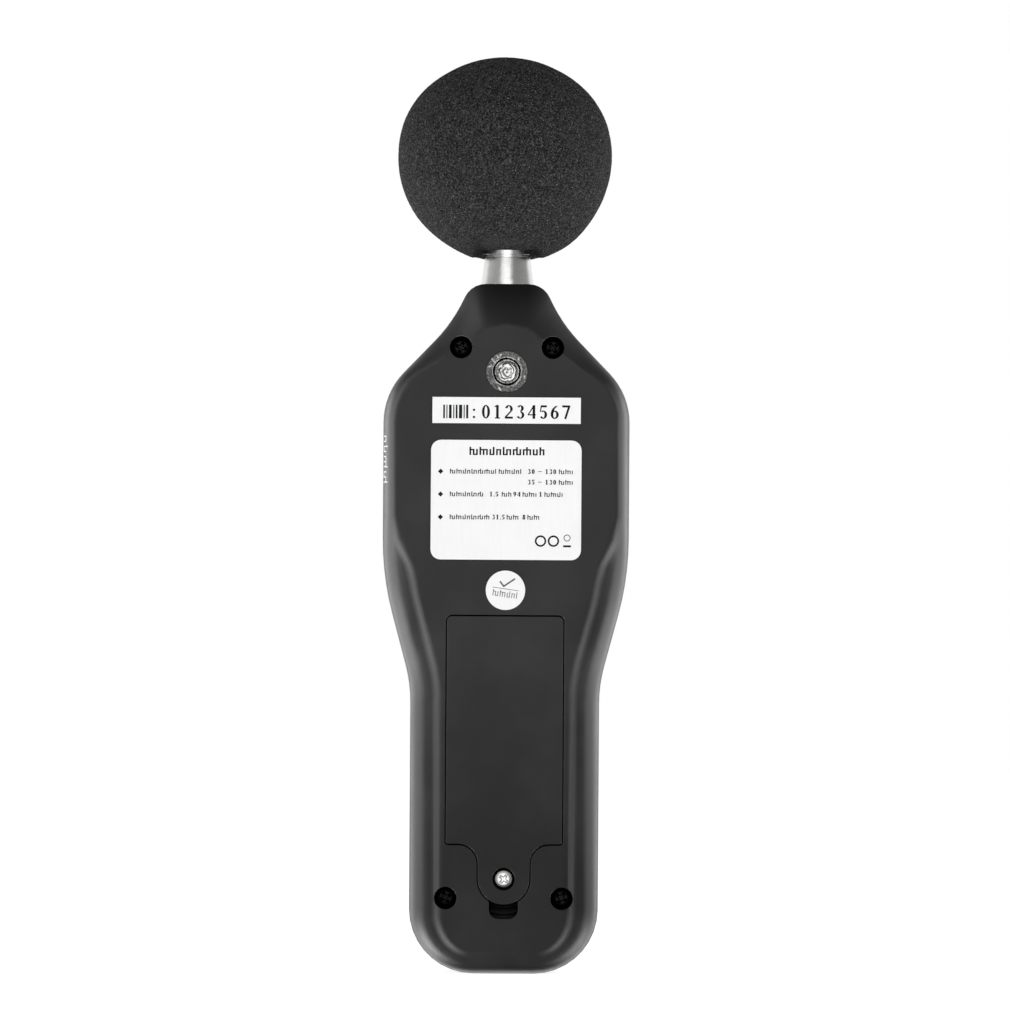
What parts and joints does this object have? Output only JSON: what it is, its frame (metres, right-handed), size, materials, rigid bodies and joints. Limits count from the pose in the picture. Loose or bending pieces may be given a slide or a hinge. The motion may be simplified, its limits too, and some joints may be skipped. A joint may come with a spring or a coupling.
{
  "type": "sound level meter",
  "caption": "Hand-held sound level meter with a foam-covered microphone on a metal stem, a wide display head, a narrow grip, a battery door and a rear tripod socket.",
  "frame": {"origin": "middle of the foot, on the microphone axis and the parting plane of the shells", "axes": "+Z along the microphone axis from foot to foam ball, display faces -Y, battery door and tripod socket face +Y, output jack on the +X side"},
  "size_m": [0.0688, 0.06, 0.2565],
  "materials": {
    "case_plastic": "matte",
    "door_plastic": "matte",
    "black_steel": "satin",
    "nickel": "satin",
    "satin_nickel": "satin",
    "battery_jacket": "satin",
    "grey_foam": "matte",
    "foam": "matte",
    "black_rubber": "matte",
    "lead_insulation": "satin",
    "white_paper": "satin",
    "board_green": "satin",
    "clear_window": "gloss",
    "lcd_glass": "gloss",
    "diffuser": "matte",
    "strip_rubber": "matte",
    "chip_black": "matte",
    "overlay_film": "satin",
    "key_rubber": "matte",
    "trimmer_blue": "satin",
    "brass": "satin"
  },
  "bodies": {
    "meter": {"front_case": "case_plastic", "rear_case": "case_plastic", "case_screws": "black_steel", "tripod_insert": "nickel", "battery": "battery_jacket", "battery_terminals": "nickel", "battery_pad": "grey_foam", "battery_snap": "black_rubber", "battery_leads": "lead_insulation", "serial_label": "white_paper", "spec_label": "white_paper", "inspection_sticker": "white_paper", "mic_barrel": "satin_nickel", "barrel_gasket": "black_rubber", "mic_capsule": "satin_nickel", "mic_grid": "satin_nickel", "preamp_board": "board_green", "mic_cable": "black_rubber", "lcd_window": "clear_window", "lcd_panel": "lcd_glass", "lcd_backlight": "diffuser", "lcd_frame": "case_plastic", "zebra_strips": "strip_rubber", "main_board": "board_green", "board_screws": "nickel", "board_chips": "chip_black", "key_switches": "chip_black", "keypad_overlay": "overlay_film", "output_jack": "chip_black", "calibration_trimmer": "trimmer_blue"},
    "door": {"battery_door": "door_plastic"},
    "door_screw": {"door_screw": "nickel"},
    "windscreen": {"windscreen": "foam"},
    "trimmer_screw": {"trimmer_screw": "brass"},
    "key_power": {"key_power": "key_rubber"},
    "key_hold": {"key_hold": "key_rubber"},
    "key_max_min": {"key_max_min": "key_rubber"},
    "key_weighting": {"key_weighting": "key_rubber"},
    "key_response": {"key_response": "key_rubber"},
    "key_light": {"key_light": "key_rubber"}
  },
  "joints": [
    {"name": "windscreen_pull", "type": "slide", "parent": "meter", "child": "windscreen", "axis": [0, 0, 1], "range_m": [0, 0.045]},
    {"name": "door_swing", "type": "hinge", "parent": "meter", "child": "door", "pos_m": [0, 0.017, 0.0999], "axis": [1, 0, 0], "range_deg": [0, 75]},
    {"name": "door_screw_turn", "type": "hinge", "parent": "door", "child": "door_screw", "pos_m": [0, 0.015, 0.0266], "axis": [0, 1, 0], "continuous": true},
    {"name": "trimmer_turn", "type": "hinge", "parent": "meter", "child": "trimmer_screw", "pos_m": [-0.029, -0.0045, 0.144], "axis": [-1, 0, 0], "range_deg": [-135, 135]},
    {"name": "key_power_press", "type": "slide", "parent": "meter", "child": "key_power", "axis": [0, 1, 0], "range_m": [0, 0.0008]},
    {"name": "key_hold_press", "type": "slide", "parent": "meter", "child": "key_hold", "axis": [0, 1, 0], "range_m": [0, 0.0008]},
    {"name": "key_max_min_press", "type": "slide", "parent": "meter", "child": "key_max_min", "axis": [0, 1, 0], "range_m": [0, 0.0008]},
    {"name": "key_weighting_press", "type": "slide", "parent": "meter", "child": "key_weighting", "axis": [0, 1, 0], "range_m": [0, 0.0008]},
    {"name": "key_response_press", "type": "slide", "parent": "meter", "child": "key_response", "axis": [0, 1, 0], "range_m": [0, 0.0008]},
    {"name": "key_light_press", "type": "slide", "parent": "meter", "child": "key_light", "axis": [0, 1, 0], "range_m": [0, 0.0008]}
  ]
}
